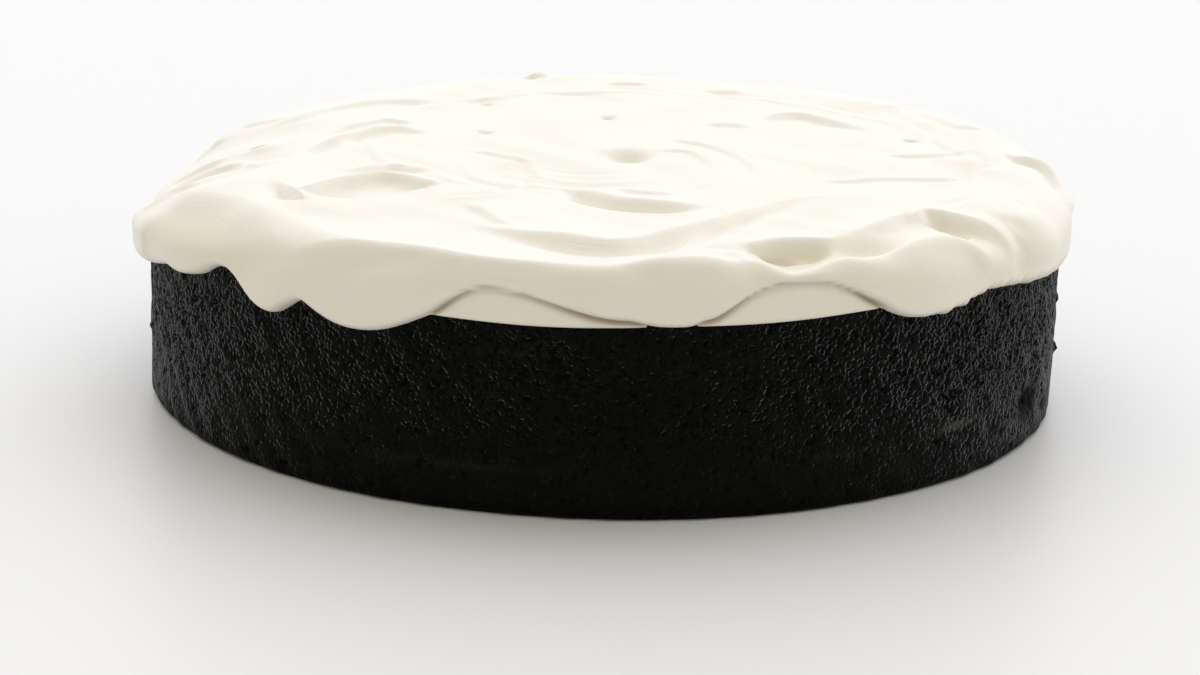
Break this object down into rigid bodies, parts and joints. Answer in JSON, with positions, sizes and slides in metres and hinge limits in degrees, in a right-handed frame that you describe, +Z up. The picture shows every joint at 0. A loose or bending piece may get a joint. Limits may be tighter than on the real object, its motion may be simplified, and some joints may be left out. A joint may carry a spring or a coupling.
{
  "type": "frosted single-layer chocolate cake",
  "caption": "Round dark chocolate cake under a thick coat of soft white frosting that rolls over its edge in uneven drips.",
  "frame": {"origin": "centre of the cake's flat underside, where it rests", "axes": "+Z up, -Y towards the side the picture shows, +X to the picture's right"},
  "size_m": [0.2363, 0.2377, 0.0622],
  "materials": {
    "sponge": "dark chocolate sponge, matte and finely porous",
    "frosting": "soft white frosting, satin gloss with spatula marks"
  },
  "bodies": {
    "root": {"sponge": "sponge", "frosting": "frosting"}
  },
  "joints": []
}
